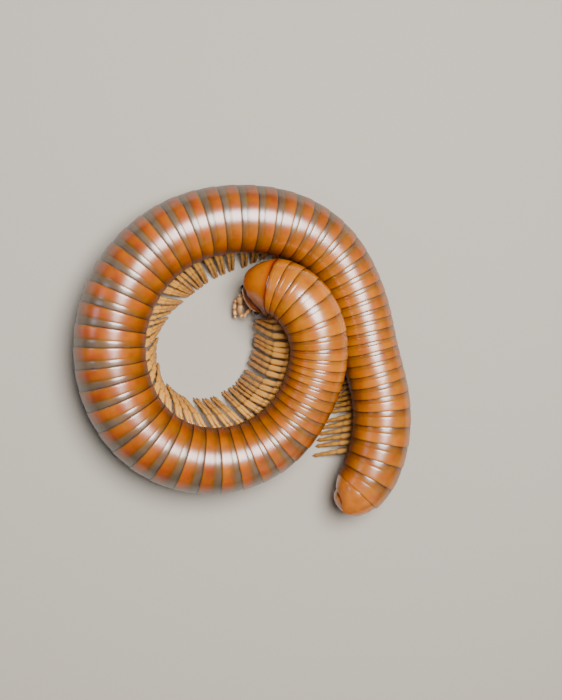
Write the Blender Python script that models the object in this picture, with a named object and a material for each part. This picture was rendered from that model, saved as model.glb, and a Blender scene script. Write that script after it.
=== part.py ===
"""A giant millipede lying coiled on the ground, life size."""

import math

import bmesh
import bpy
from mathutils import Matrix, Vector

# Sizes are given in millimetres and angles in degrees, and meshes are made in metres.
MM = 0.001

# The line of the body seen from above
# It starts under the front edge of the neck shield and runs back to the tail.
# Each bend is how far the body runs and how far it turns, clockwise being negative.
START = (-0.6, 12.77)
START_HEADING = 20.0
BENDS = (
    (5.5, -34), (2.5, -21), (9, -38.5), (8, -30.5), (8, -14), (14, -45), (26, -79),
    (28, -66), (16, -39), (14, -25), (16, -48), (12, -19), (10, 6), (18, -40), (8, -32),
    (20, -50),
)

# What changes along the body
# Each pair is a distance behind the front edge of the shield and the value there.
HEIGHTS = (
    (0, 7.6), (4, 9.8), (8, 11.7), (12, 12.5), (20, 12.5), (30, 11.2), (40, 9.4),
    (50, 8.6), (95, 8.7), (130, 8.3), (145, 7.5), (190, 7.3), (200, 6.7), (212, 5.2),
)
WIDTHS = (
    (0, 9.6), (5, 10.6), (8, 11.2), (14, 11.5), (20, 11.0), (32, 10.9), (42, 12.0),
    (52, 12.6), (62, 12.9), (78, 13.4), (95, 13.3), (130, 12.7), (150, 11.6), (160, 11.3),
    (184, 11.4), (190, 11.0), (194, 9.6), (198, 7.4), (206, 5.2),
)
LEANS = ((0, 4), (14, 12), (40, 22), (60, 26), (110, 26), (130, 16), (160, 10), (205, 8))
RING_SPACINGS = (
    (0, 1.65), (7, 1.43), (8.5, 1.6), (12, 3.25), (15.5, 2.6), (18, 2.25), (21, 1.55),
    (27, 1.74), (33, 1.95), (38, 3.0), (45, 2.8), (50, 3.6), (60, 3.35), (72, 3.2), (85, 3.4),
    (99, 3.15), (104, 2.8), (111, 2.9), (121, 3.25), (127, 3.25), (133, 2.77), (143, 2.75),
    (149, 2.45), (155, 1.9), (160, 1.95), (166, 2.1), (172, 2.75), (177, 3.4), (186, 3.75),
    (191, 3.35), (205, 2.55),
)

# The trunk
# The rings are counted from the one behind the shield, in lengths that bend little.
RINGS_IN_LENGTHS = (3, 3, 6, 6, 6, 6, 5, 5, 6, 6, 6, 6, 5)
RING_SIDES = 18
RING_VARIETY = 0.02
RING_VARIETY_RHYTHM = 1.7
RING_GROOVE = 0.955
GROOVE_END = 0.08
RING_LIP = 0.96
BELLY_FLATNESS = 0.95
BELLY_HALF_ANGLE = 28
GAP = 0.32

# The legs
# The inner side of the coil is the left of the animal, where the legs reach furthest.
FIRST_FULL_RING = 4
LEGLESS_LAST_RINGS = 2
LEG_PLACE_IN_RING = 0.58
LEG_PAIR_SPREAD = 0.18
LEG_PAIR_LEAST = 0.30
LEG_ROOT_ANGLE = 11
LEG_ROOT_DEPTH = 0.9
LEG_SIDES = 4
LEG_WIDTH_SHARES = (0.076, 0.072, 0.056, 0.034)
RINGS_IN_BUNCH = 3
LEG_BUNCHING = 0.20
INNER_SPANS = (
    (0, 1.4), (8, 2.2), (15, 8.4), (20, 9.0), (34, 8.8), (48, 8.8), (62, 9.2), (76, 7.8),
    (88, 7.2), (96, 8.2), (108, 7.6), (122, 6.4), (132, 3.8), (140, 1.4), (162, 1.4),
    (170, 5.5), (178, 9.4), (194, 9.2), (208, 6.4),
)
OUTER_SPAN = 4.6
OUTER_SWEEP_SHARE = 0.4
SWEEPS = (
    (0, 10), (6, 4), (9, -12), (13, -38), (20, -14), (28, 0), (40, 6), (46, 20), (54, 32),
    (64, 42), (79, 40), (88, 27), (98, 22), (108, 10), (122, 10), (132, 0), (150, 0),
    (166, 8), (175, 10), (184, 24), (196, 32), (212, 44),
)
FOOT_HEIGHTS = ((0, 5.5), (12, 3.6), (24, 2.0), (36, 0.0), (212, 0.0))
KNEE_SHARE = 0.42
KNEE_LIFT = 0.06
SWEEP_CURL = 0.40

# The neck shield
SHIELD_LENGTH = 5.4
SHIELD_FRONT_WIDTH = 0.30
SHIELD_ROUNDNESS = 0.7
SHIELD_LOBE_ANGLE = 112
SHIELD_LOBE_HALF_ANGLE = 44
SHIELD_OUTER_FLARE = 0.12
SHIELD_INNER_FLARE = 0.34
SHIELD_CUT_ALONG = 1.5
SHIELD_CUT_LEAN = 25
SHIELD_STEPS = 6

# The head
# Its frame lies under the shield, bent down, and turned and set over to the inner side.
HEAD_ALONG = 2.6
HEAD_DROP = 2.3
HEAD_OFFSET = 1.25
HEAD_NOD = 32
HEAD_TURN = 27
# Each row is a height on the head, then half its width and half its thickness there.
HEAD_ROWS = (
    (2.2, 1.5, 0.7), (1.8, 2.5, 1.4), (0.7, 3.3, 1.9), (-0.8, 3.5, 2.0), (-2.2, 3.0, 1.7),
    (-3.3, 2.3, 1.2), (-3.8, 1.9, 0.9),
)
HEAD_SIDES = 20
HEAD_DEPTH = 2.0
LIP_NOTCH = 0.5
LIP_NOTCH_HALF_WIDTH = 0.83
CHEEK_PLACE = (2.85, -1.3, 2.1)
CHEEK_RADII = (1.0, 1.5, 1.2)
EYE_PLACE = (2.52, 0.85, 2.85)
EYE_RADII = (0.7, 0.55, 0.55)
CHIN_PLACE = (0.0, -2.2, 0.12)
CHIN_RADII = (1.6, 1.6, 0.5)

# The feelers
# Each joint is its length, its width, its bearing and its slope above the ground.
FEELER_SOCKET = (1.3, 0.2, 3.6)
FEELER_SOCKET_RADIUS = 0.55
LEFT_FEELER = (
    (0.8, 0.66, 226, -45), (1.1, 0.74, 230, -32), (1.0, 0.80, 234, -18), (0.75, 0.86, 155, 0),
    (1.9, 0.94, 90, 6), (1.6, 0.96, 96, 10), (0.5, 0.62, 96, 10),
)
RIGHT_FEELER = (
    (0.8, 0.66, 200, -75), (1.2, 0.72, 205, -58), (0.9, 0.76, 212, -18), (0.7, 0.80, 232, -6),
    (1.3, 0.84, 266, 0), (1.2, 0.84, 275, 0), (0.5, 0.56, 275, 0),
)
FEELER_ROOT_SHARE = 0.8
FEELER_SIDES = 8

# The tail
TAIL_CAP_LENGTH = 3.0
TAIL_CAP_SHRINK = 0.80
TAIL_SLANT = 0.7
TAIL_POINT = 1.0
TAIL_POINT_SHARPNESS = 10
TAIL_STEPS = 3
VALVE_BULGE = 1.5
VALVE_SHARE = 0.80
VALVE_DROP = 0.25
VALVE_SETBACK = 0.48
VALVE_CLOSING = 0.92
VALVE_STEPS = 3
VALVE_SIDES = 8

# The finishes
# Each kind of piece has a colour, a roughness and a metallic value. None is metal.
FINISHES = {
    "trunk": ((0.53, 0.20, 0.045), 0.24, 0.0),
    "neck": ((0.56, 0.17, 0.025), 0.22, 0.0),
    "head": ((0.30, 0.11, 0.035), 0.28, 0.0),
    "cheek": ((0.26, 0.10, 0.035), 0.30, 0.0),
    "chin": ((0.42, 0.22, 0.10), 0.35, 0.0),
    "eye": ((0.02, 0.015, 0.012), 0.18, 0.0),
    "feeler": ((0.50, 0.27, 0.13), 0.38, 0.0),
    "tail": ((0.58, 0.21, 0.03), 0.24, 0.0),
}
SHARP_ANGLE = 35

# How finely the body line is stepped along, and how softly one value runs into the next.
STEP = 0.25
EASE = 3.0
EASE_SAMPLES = 7

# Faces that bend less than this are joined again after a cut.
FLAT_ENOUGH = 0.1


def remove_all_objects():
    """Start from an empty scene."""
    for thing in list(bpy.data.objects):
        bpy.data.objects.remove(thing, do_unlink=True)


def read_off(points, along):
    """The value at one place of a list of points, straight between them."""
    if along <= points[0][0]:
        return points[0][1]
    for (near, low), (far, high) in zip(points, points[1:]):
        if along <= far:
            return low + (high - low) * (along - near) / (far - near)
    return points[-1][1]


def eased(points, along):
    """The value at one place with the corners of the list rounded off."""
    total = 0.0
    for sample in range(EASE_SAMPLES):
        offset = EASE * (2 * sample / (EASE_SAMPLES - 1) - 1)
        total += read_off(points, along + offset)
    return total / EASE_SAMPLES


def trace_body():
    """Step along the body and note where it is and which way it heads."""
    headings = [(0.0, START_HEADING)]
    for length, turn in BENDS:
        along, heading = headings[-1]
        headings.append((along + length, heading + turn))
    x, y = START
    trace = []
    for step in range(int(headings[-1][0] / STEP)):
        heading = math.radians(eased(headings, step * STEP))
        trace.append((x, y, heading))
        x += STEP * math.cos(heading)
        y += STEP * math.sin(heading)
    return trace


def body_frame(along):
    """Centre, backward, outward and upward directions of the leaning body at one place."""
    share, step = math.modf(along / STEP)
    x, y, heading = TRACE[int(step)]
    next_x, next_y, next_heading = TRACE[int(step) + 1]
    heading += (next_heading - heading) * share
    centre = Vector((
        x + (next_x - x) * share,
        y + (next_y - y) * share,
        eased(HEIGHTS, along),
    ))
    slope = eased(HEIGHTS, along + 0.5) - eased(HEIGHTS, along - 0.5)
    back = Vector((math.cos(heading), math.sin(heading), slope)).normalized()
    side = Vector((-math.sin(heading), math.cos(heading), 0.0))
    up = back.cross(side)
    lean = math.radians(eased(LEANS, along))
    leaning_up = up * math.cos(lean) + side * math.sin(lean)
    leaning_side = side * math.cos(lean) - up * math.sin(lean)
    return centre, back, leaning_side, leaning_up


def ring_point(along, angle, radius):
    """A point round the body, the angle measured from the back towards the outer side."""
    centre, back, side, up = body_frame(along)
    turn = math.radians(angle)
    return centre + (up * math.cos(turn) + side * math.sin(turn)) * radius


def girth(along, angle):
    """The radius of the body at one place, a little flatter along the belly."""
    radius = eased(WIDTHS, along) / 2
    from_belly = abs((angle % 360) - 180)
    if from_belly < BELLY_HALF_ANGLE:
        bulge = 1 - (from_belly / BELLY_HALF_ANGLE) ** 2
        radius *= 1 - (1 - BELLY_FLATNESS) * bulge
    return radius


def find_ring_edges():
    """Where each ring begins, and where the last one ends."""
    edges = [SHIELD_LENGTH]
    for number in range(sum(RINGS_IN_LENGTHS)):
        spacing = eased(RING_SPACINGS, edges[-1])
        spacing *= 1 + RING_VARIETY * math.sin(RING_VARIETY_RHYTHM * number)
        edges.append(edges[-1] + spacing)
    return edges


def new_object(name, mesh_builder):
    """Turn a finished mesh builder into an object in metres."""
    bmesh.ops.scale(mesh_builder, vec=(MM, MM, MM), verts=mesh_builder.verts)
    bmesh.ops.recalc_face_normals(mesh_builder, faces=mesh_builder.faces)
    bmesh.ops.triangulate(mesh_builder, faces=mesh_builder.faces)
    mesh = bpy.data.meshes.new(name)
    mesh_builder.to_mesh(mesh)
    mesh_builder.free()
    thing = bpy.data.objects.new(name, mesh)
    bpy.context.collection.objects.link(thing)
    return thing


def skin_rows(name, rows):
    """A closed body through rows of points, with a flat cap on the first and last row."""
    builder = bmesh.new()
    made = []
    for row in rows:
        made.append([builder.verts.new(point) for point in row])
    count = len(rows[0])
    for near, far in zip(made, made[1:]):
        for index in range(count):
            following = (index + 1) % count
            builder.faces.new((near[index], near[following], far[following], far[index]))
    builder.faces.new(list(reversed(made[0])))
    builder.faces.new(made[-1])
    return new_object(name, builder)


def ellipsoid(name, place, radii, rings=6, segments=10):
    """A closed ball stretched to three radii, in the frame that turns it."""
    origin, axes = place
    builder = bmesh.new()
    bmesh.ops.create_uvsphere(builder, u_segments=segments, v_segments=rings, radius=1.0)
    for vertex in builder.verts:
        local = vertex.co.copy()
        vertex.co = origin + sum(
            (axis * part * radius for axis, part, radius in zip(axes, local, radii)),
            Vector(),
        )
    return new_object(name, builder)


def grown_ellipsoid(place, radii):
    """The hollow that leaves a narrow gap round an ellipsoid."""
    return ellipsoid("hollow", place, [radius + GAP for radius in radii])


def tube(name, centres, widths, sides, flat_end=False):
    """A jointed tube through a few centres, its end lying level where it meets the ground."""
    down = Vector((0.0, 0.0, -1.0))
    across = (centres[-1] - centres[0]).cross(down)
    rows = []
    for index, (centre, width) in enumerate(zip(centres, widths)):
        before = centres[max(index - 1, 0)]
        after = centres[min(index + 1, len(centres) - 1)]
        direction = (after - before).normalized()
        if flat_end and index == len(centres) - 1:
            direction = down
        across = (across - direction * across.dot(direction)).normalized()
        over = direction.cross(across)
        row = []
        for corner in range(sides):
            turn = 2 * math.pi * (corner + 0.5) / sides
            offset = across * math.cos(turn) + over * math.sin(turn)
            row.append(centre + offset * width / 2)
        rows.append(row)
    return skin_rows(name, rows)


def largest_surface_only(thing):
    """Keep the surface with the most points, drop any crumbs and clear flat faces of cuts."""
    builder = bmesh.new()
    builder.from_mesh(thing.data)
    unseen = set(builder.verts)
    surfaces = []
    while unseen:
        stack = [unseen.pop()]
        surface = set(stack)
        while stack:
            for edge in stack.pop().link_edges:
                for vertex in edge.verts:
                    if vertex in unseen:
                        unseen.discard(vertex)
                        surface.add(vertex)
                        stack.append(vertex)
        surfaces.append(surface)
    surfaces.sort(key=len)
    for surface in surfaces[:-1]:
        bmesh.ops.delete(builder, geom=list(surface), context='VERTS')
    bmesh.ops.dissolve_limit(
        builder, angle_limit=math.radians(FLAT_ENOUGH), verts=builder.verts, edges=builder.edges,
    )
    bmesh.ops.triangulate(builder, faces=builder.faces)
    builder.to_mesh(thing.data)
    builder.free()


def join(body, tools, operation):
    """Add or take away closed bodies with one boolean, then remove them."""
    group = bpy.data.collections.new(body.name + "_tools")
    bpy.context.scene.collection.children.link(group)
    for tool in tools:
        bpy.context.collection.objects.unlink(tool)
        group.objects.link(tool)
    change = body.modifiers.new(operation, 'BOOLEAN')
    change.operation = operation
    change.operand_type = 'COLLECTION'
    change.collection = group
    change.solver = 'EXACT'
    bpy.context.view_layer.objects.active = body
    bpy.ops.object.modifier_apply(modifier=change.name)
    for tool in tools:
        bpy.data.objects.remove(tool, do_unlink=True)
    bpy.data.collections.remove(group)
    largest_surface_only(body)


def body_row(along, share, shift=0.0):
    """One row of points round the body at a share of its radius, moved bodily backwards."""
    back = body_frame(along)[1]
    row = []
    for index in range(RING_SIDES):
        angle = 360 * (index + 0.5) / RING_SIDES
        row.append(ring_point(along, angle, girth(along, angle) * share) + back * shift)
    return row


def trunk_rows(edges):
    """The stepped profile of a length of trunk: each ring swells from its groove to its lip."""
    rows = []
    last = len(edges) - 2
    for number, (near, far) in enumerate(zip(edges, edges[1:])):
        run = far - near
        if number == 0:
            rows.append(body_row(near, RING_GROOVE, GAP / 2))
        else:
            rows.append(body_row(near + run * GROOVE_END, RING_GROOVE))
        if number == last:
            rows.append(body_row(far, 1.0, -GAP / 2))
        else:
            rows.append(body_row(near + run * RING_LIP, 1.0))
    return rows


def level_direction(back, side, sweep, outward):
    """The level direction in which a leg reaches, swept back from straight out."""
    reach = (side if outward else -side).copy()
    reach.z = 0.0
    reach.normalize()
    backward = Vector((back.x, back.y, 0.0)).normalized()
    turn = math.radians(sweep)
    return reach * math.cos(turn) + backward * math.sin(turn)


def build_leg(name, along, outward, bunch):
    """One leg from its root in the belly to its foot, near the ground."""
    _, back, side, _ = body_frame(along)
    angle = 180 - LEG_ROOT_ANGLE if outward else 180 + LEG_ROOT_ANGLE
    radius = girth(along, angle)
    root = ring_point(along, angle, radius - LEG_ROOT_DEPTH)
    widths = [eased(WIDTHS, along) * share for share in LEG_WIDTH_SHARES]
    leave = ring_point(along, angle, radius + widths[1] / 2)
    sweep = eased(SWEEPS, along) * (OUTER_SWEEP_SHARE if outward else 1.0)
    span = OUTER_SPAN if outward else eased(INNER_SPANS, along)
    near = level_direction(back, side, sweep * (1 - SWEEP_CURL), outward)
    curled = sweep * (1 + SWEEP_CURL * KNEE_SHARE / (1 - KNEE_SHARE))
    far = level_direction(back, side, curled, outward)
    drawn = Vector((back.x, back.y, 0.0)) * bunch
    knee = leave + (near * span - drawn) * KNEE_SHARE
    foot = knee + (far * span - drawn) * (1 - KNEE_SHARE)
    foot.z = max(read_off(FOOT_HEIGHTS, along), 0.0)
    if outward:
        return tube(name, (root, knee, foot), widths[1:], LEG_SIDES, flat_end=True)
    knee.z += span * KNEE_LIFT
    return tube(name, (root, leave, knee, foot), widths, LEG_SIDES, flat_end=True)


def leg_places(edges, ring):
    """Where the legs of one ring stand: one pair on each of the first rings, then two."""
    run = edges[ring + 1] - edges[ring]
    middle = edges[ring] + run * LEG_PLACE_IN_RING
    if ring + 1 < FIRST_FULL_RING:
        return (middle,)
    spread = max(run * LEG_PAIR_SPREAD, LEG_PAIR_LEAST)
    return (middle - spread, middle + spread)


def foot_shift(edges, first, last, along):
    """How far a foot is drawn towards the middle of its bunch of legs."""
    bunches = max(round((last - first) / RINGS_IN_BUNCH), 1)
    length = (edges[last] - edges[first]) / bunches
    place = math.modf((along - edges[first]) / length)[0]
    return LEG_BUNCHING * (place - 0.5) * length


def build_trunk(edges):
    """Every length of the trunk with the legs that grow from it."""
    first = 0
    leg_rings = len(edges) - 1 - LEGLESS_LAST_RINGS
    for length, count in enumerate(RINGS_IN_LENGTHS):
        last = first + count
        name = "trunk_%02d" % (length + 1)
        trunk = skin_rows(name, trunk_rows(edges[first:last + 1]))
        legs = []
        for ring in range(first, min(last, leg_rings)):
            for along in leg_places(edges, ring):
                bunch = foot_shift(edges, first, last, along)
                for outward in (False, True):
                    legs.append(build_leg("leg", along, outward, bunch))
        if legs:
            join(trunk, legs, 'UNION')
        first = last


def head_frame():
    """The origin of the head and its axes across, up the head and out through the face."""
    centre, back, side, up = body_frame(HEAD_ALONG)
    turned_back = Matrix.Rotation(math.radians(HEAD_TURN), 3, up) @ back
    turned_side = up.cross(turned_back)
    nod = math.radians(HEAD_NOD)
    forward = -turned_back * math.cos(nod) - up * math.sin(nod)
    upward = up * math.cos(nod) - turned_back * math.sin(nod)
    origin = centre - up * HEAD_DROP - side * HEAD_OFFSET
    return origin, (turned_side, upward, forward)


def head_point(across, upward, forward):
    """A point given in the frame of the head."""
    origin, axes = head_frame()
    return origin + axes[0] * across + axes[1] * upward + axes[2] * forward


def head_place(place, mirrored=False):
    """The frame of a piece of the head, on the outer side or mirrored to the inner."""
    across, upward, forward = place
    if mirrored:
        across = -across
    return head_point(across, upward, forward), head_frame()[1]


def shield_row(along, share, shift):
    """One row of points round the shield, which flares a little at its two side lobes."""
    back = body_frame(along)[1]
    row = []
    for index in range(RING_SIDES):
        angle = 360 * (index + 0.5) / RING_SIDES
        from_lobe = abs(abs(angle - 180) - (180 - SHIELD_LOBE_ANGLE))
        flare = SHIELD_OUTER_FLARE if angle < 180 else SHIELD_INNER_FLARE
        flare *= max(1 - from_lobe / SHIELD_LOBE_HALF_ANGLE, 0.0)
        radius = girth(along, angle) * share * (1 + flare)
        row.append(ring_point(along, angle, radius) + back * shift)
    return row


def build_shield(first_edge):
    """The neck shield, a dome cut sloping in front and hollowed over the head."""
    rows = []
    for step in range(SHIELD_STEPS + 1):
        share = step / SHIELD_STEPS
        swell = SHIELD_FRONT_WIDTH + (1 - SHIELD_FRONT_WIDTH) * share ** SHIELD_ROUNDNESS
        rows.append(shield_row(first_edge * share, swell, -GAP / 2 * share))
    shield = skin_rows("neck_shield", rows)
    centre, back, _, up = body_frame(SHIELD_CUT_ALONG)
    lean = math.radians(SHIELD_CUT_LEAN)
    builder = bmesh.new()
    builder.from_mesh(shield.data)
    bmesh.ops.bisect_plane(
        builder,
        geom=list(builder.verts) + list(builder.edges) + list(builder.faces),
        plane_co=centre * MM,
        plane_no=-back * math.cos(lean) - up * math.sin(lean),
        clear_outer=True,
    )
    rim = [edge for edge in builder.edges if edge.is_boundary]
    bmesh.ops.contextual_create(builder, geom=rim)
    bmesh.ops.recalc_face_normals(builder, faces=builder.faces)
    bmesh.ops.triangulate(builder, faces=builder.faces)
    builder.to_mesh(shield.data)
    builder.free()
    hollows = [skin_rows("hollow", head_rows(GAP))]
    hollows.append(grown_ellipsoid(head_place(CHIN_PLACE), CHIN_RADII))
    for mirrored in (False, True):
        for place, radii in ((EYE_PLACE, EYE_RADII), (CHEEK_PLACE, CHEEK_RADII)):
            hollows.append(grown_ellipsoid(head_place(place, mirrored), radii))
    join(shield, hollows, 'DIFFERENCE')


def head_rows(extra):
    """The rows of points round the head capsule, grown all round by a little extra."""
    rows = []
    for number, (upward, half_width, half_depth) in enumerate(HEAD_ROWS):
        if number == 0:
            upward += extra
        if number == len(HEAD_ROWS) - 1:
            upward -= extra
        row = []
        for index in range(HEAD_SIDES):
            turn = 2 * math.pi * index / HEAD_SIDES
            across = (half_width + extra) * math.cos(turn)
            forward = HEAD_DEPTH + (half_depth + extra) * math.sin(turn)
            row.append(head_point(across, upward, forward))
        rows.append(row)
    return rows


def build_head():
    """The head capsule with its hollows, and the eyes, feelers, cheeks and chin in them."""
    head = skin_rows("head", head_rows(0.0))
    hollows = []
    for mirrored, side_name in ((False, "right"), (True, "left")):
        for kind, place, radii in (
            ("eye", EYE_PLACE, EYE_RADII),
            ("cheek", CHEEK_PLACE, CHEEK_RADII),
        ):
            spot = head_place(place, mirrored)
            ellipsoid(kind + "_" + side_name, spot, radii)
            hollows.append(grown_ellipsoid(spot, radii))
        spot = head_place(FEELER_SOCKET, mirrored)
        hollows.append(grown_ellipsoid(spot, [FEELER_SOCKET_RADIUS] * 3))
        joints = LEFT_FEELER if mirrored else RIGHT_FEELER
        build_feeler("feeler_" + side_name, spot[0], joints)
    spot = head_place(CHIN_PLACE)
    ellipsoid("chin", spot, CHIN_RADII)
    hollows.append(grown_ellipsoid(spot, CHIN_RADII))
    spot = head_place((0.0, HEAD_ROWS[-1][0], HEAD_DEPTH + HEAD_ROWS[-1][2]))
    notch = (LIP_NOTCH_HALF_WIDTH, LIP_NOTCH, LIP_NOTCH)
    hollows.append(ellipsoid("hollow", spot, notch))
    join(head, hollows, 'DIFFERENCE')


def build_feeler(name, start, joints):
    """A feeler from its round socket, joint by joint, to its blunt tip."""
    centres = [start]
    widths = [joints[0][1] * FEELER_ROOT_SHARE]
    for length, width, bearing, slope in joints:
        turn = math.radians(bearing)
        tilt = math.radians(slope)
        direction = Vector((
            math.cos(turn) * math.cos(tilt),
            math.sin(turn) * math.cos(tilt),
            math.sin(tilt),
        ))
        centres.append(centres[-1] + direction * length)
        widths.append(width)
    return tube(name, centres, widths, FEELER_SIDES)


def build_tail(last_edge):
    """The tail cap with its blunt point, and the two valves that close it."""
    rows = []
    for step in range(TAIL_STEPS + 1):
        share = step / TAIL_STEPS
        along = last_edge + TAIL_CAP_LENGTH * share
        centre, back, _, up = body_frame(along)
        shrink = RING_GROOVE + (TAIL_CAP_SHRINK - RING_GROOVE) * share
        row = []
        for point in body_row(along, shrink, GAP / 2):
            height = (point - centre).dot(up) / girth(along, 0)
            point_share = max(height, 0.0) ** TAIL_POINT_SHARPNESS
            row.append(point + back * share * (TAIL_SLANT * height + TAIL_POINT * point_share))
        rows.append(row)
    skin_rows("tail_cap", rows)
    end = last_edge + TAIL_CAP_LENGTH
    centre, back, side, up = body_frame(end)
    radius = girth(end, 0) * TAIL_CAP_SHRINK * VALVE_SHARE
    start = centre + back * VALVE_SETBACK - up * VALVE_DROP
    for name, direction in (("tail_valve_left", -1), ("tail_valve_right", 1)):
        rows = []
        for step in range(VALVE_STEPS + 1):
            share = step / VALVE_STEPS
            level = math.sqrt(1 - (VALVE_CLOSING * share) ** 2)
            row = []
            for index in range(VALVE_SIDES + 1):
                turn = math.pi * index / VALVE_SIDES
                across = GAP / 2 + (radius - GAP / 2) * math.sin(turn) * level
                upward = radius * math.cos(turn) * level
                slant = TAIL_SLANT * upward / girth(end, 0)
                offset = back * (slant + VALVE_BULGE * share)
                row.append(start + offset + side * across * direction + up * upward)
            rows.append(row)
        skin_rows(name, rows)


def finish_pieces():
    """Give each piece its own material, and shade it smooth with its steps kept crisp."""
    for piece in bpy.data.objects:
        colour, roughness, metallic = FINISHES[piece.name.split("_")[0]]
        material = bpy.data.materials.new(piece.name)
        material.use_nodes = True
        shader = material.node_tree.nodes["Principled BSDF"]
        shader.inputs["Base Color"].default_value = (*colour, 1.0)
        shader.inputs["Roughness"].default_value = roughness
        shader.inputs["Metallic"].default_value = metallic
        piece.data.materials.append(material)
        piece.data.shade_smooth()
        piece.data.set_sharp_from_angle(angle=math.radians(SHARP_ANGLE))


remove_all_objects()
TRACE = trace_body()
RING_EDGES = find_ring_edges()
build_trunk(RING_EDGES)
build_shield(RING_EDGES[0])
build_head()
build_tail(RING_EDGES[-1])
finish_pieces()
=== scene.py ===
# %% [markdown]
# A giant millipede at rest
# This lesson dresses the plain solid model of a giant millipede. The real animal is a long
# tube of hard, waxed rings, each sliding into the one in front, with two pairs of legs on
# nearly every ring. It is modelled straight, ring by ring and leg by leg, and then bent along
# one curve, because a straight thing is much easier to shape by hand than a coiled one.

import math
import random
from functools import partial

import bpy
from mathutils import Matrix, Vector


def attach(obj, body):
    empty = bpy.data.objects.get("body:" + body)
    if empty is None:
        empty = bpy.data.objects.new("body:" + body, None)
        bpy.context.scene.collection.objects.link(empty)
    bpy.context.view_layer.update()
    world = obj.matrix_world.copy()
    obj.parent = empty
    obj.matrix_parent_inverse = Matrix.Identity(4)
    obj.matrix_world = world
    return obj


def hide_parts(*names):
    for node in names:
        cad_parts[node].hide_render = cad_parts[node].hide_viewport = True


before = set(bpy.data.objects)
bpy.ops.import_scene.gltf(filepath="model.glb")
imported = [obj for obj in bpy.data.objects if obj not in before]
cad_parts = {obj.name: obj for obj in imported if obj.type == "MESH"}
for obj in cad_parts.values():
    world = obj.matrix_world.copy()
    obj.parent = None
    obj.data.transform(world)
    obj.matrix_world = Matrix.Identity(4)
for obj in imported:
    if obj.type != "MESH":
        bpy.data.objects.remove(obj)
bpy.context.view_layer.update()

# %% [markdown]
# The camera looks almost straight down, as the photographer did, a little from the left.
# The animal lies on a plain pale floor. Three large soft lamps stand for daylight: the one
# overhead draws the long white gloss along the back, and the cool one gives the bluish sheen.

# %% Camera, floor and lamps
MM = 0.001
CAMERA_PLACE = Vector((-32.90, 11.12, 213.97)) * MM
CAMERA_AIM = Vector((6.8, 0.77, 7.0)) * MM
CAMERA_LENS = 56.57
LAMPS = (
    # name, place in mm, size in mm, power in watts, colour
    ("lamp_overhead", (45, 72, 330), 200, 2.35, (1.0, 0.975, 0.95)),
    ("lamp_sky", (-330, 60, 190), 110, 0.10, (0.66, 0.72, 1.0)),
    ("lamp_side", (200, -260, 200), 240, 0.06, (1.0, 0.93, 0.92)),
)
NEAREST_SEEN = 10.0
DAYLIGHT_COLOUR = (0.93, 0.95, 1.0, 1)
DAYLIGHT_STRENGTH = 0.09


def aim(thing, target):
    """Point a camera or lamp at a place, keeping the top of its picture towards +Y."""
    ahead = (target - thing.location).normalized()
    right = ahead.cross(Vector((0, 1, 0))).normalized()
    top = right.cross(ahead)
    thing.rotation_euler = Matrix((right, top, -ahead)).transposed().to_euler()


bpy.ops.object.camera_add(location=CAMERA_PLACE)
camera = bpy.context.object
camera.data.lens = CAMERA_LENS
camera.data.clip_start = NEAREST_SEEN * MM
aim(camera, CAMERA_AIM)
bpy.context.scene.camera = camera

for name, place, size, power, colour in LAMPS:
    bpy.ops.object.light_add(type='AREA', location=Vector(place) * MM)
    lamp = bpy.context.object
    lamp.name = name
    lamp.data.shape = 'DISK'
    lamp.data.size = size * MM
    lamp.data.energy = power
    lamp.data.color = colour
    aim(lamp, Vector())

world = bpy.data.worlds.new("soft_daylight")
world.use_nodes = True
background = world.node_tree.nodes["Background"]
background.inputs["Color"].default_value = DAYLIGHT_COLOUR
background.inputs["Strength"].default_value = DAYLIGHT_STRENGTH
bpy.context.scene.world = world
print("camera height, mm:", round(camera.location.z / MM), "lamps:", len(LAMPS))

# %% [markdown]
# Finishes in code
# Colours are written as the hex values of a paint chart. Blender mixes light in linear
# values, so one function turns the first into the second. Another adds a shader node with
# its settings and its links, and is used for every finish in this lesson. Patterns are sized
# by the millimetres that they measure on the real surface.


# %% Helpers for finishes
def hex_colour(code):
    """An sRGB hex colour as linear red, green, blue and an alpha of one."""
    parts = [int(code[i:i + 2], 16) / 255 for i in (0, 2, 4)]
    return (*[p / 12.92 if p <= 0.04045 else ((p + 0.055) / 1.055) ** 2.4 for p in parts], 1)


def spots(size):
    """The noise scale whose spots have a size in mm, on coordinates in metres."""
    return 1 / (size * MM)


def set_inputs(node, inputs):
    """Give a node's inputs, by name or in their order, a value or a link each."""
    for name, value in inputs.items() if isinstance(inputs, dict) else enumerate(inputs):
        if isinstance(value, bpy.types.NodeSocket):
            node.id_data.links.new(value, node.inputs[name])
        else:
            node.inputs[name].default_value = value


def add_node(tree, kind, inputs=(), output=0, stops=(), **settings):
    """Add a node with its settings, inputs and ramp stops, and return one of its outputs."""
    node = tree.nodes.new('ShaderNode' + kind)
    for name, value in settings.items():
        setattr(node, name, value)
    set_inputs(node, inputs)
    for number, (place, value) in enumerate(stops):
        ramp = node.color_ramp.elements
        stop = ramp[number] if number < 2 else ramp.new(place)
        stop.position = place
        stop.color = hex_colour(value) if isinstance(value, str) else (value, value, value, 1)
    return node.outputs[output]


def new_finish(name):
    """A new material, its shader, and the function that adds nodes to its tree."""
    material = bpy.data.materials.new(name)
    material.use_nodes = True
    tree = material.node_tree
    return material, tree.nodes["Principled BSDF"], partial(add_node, tree)


# %% [markdown]
# The floor
# A plain board, painted matt in a pale warm grey, takes the soft shadow of the coil. It only
# sets the scene and is not attached to the animal.

# %% Floor
FLOOR_WIDTH = 2.0
bpy.ops.mesh.primitive_plane_add(size=FLOOR_WIDTH)
floor = bpy.context.object
floor.name = "floor"
material, shader, add = new_finish("matt_painted_board")
set_inputs(shader, {"Base Color": hex_colour("B9B2A6"), "Roughness": 0.9})
floor.data.materials.append(material)

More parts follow.
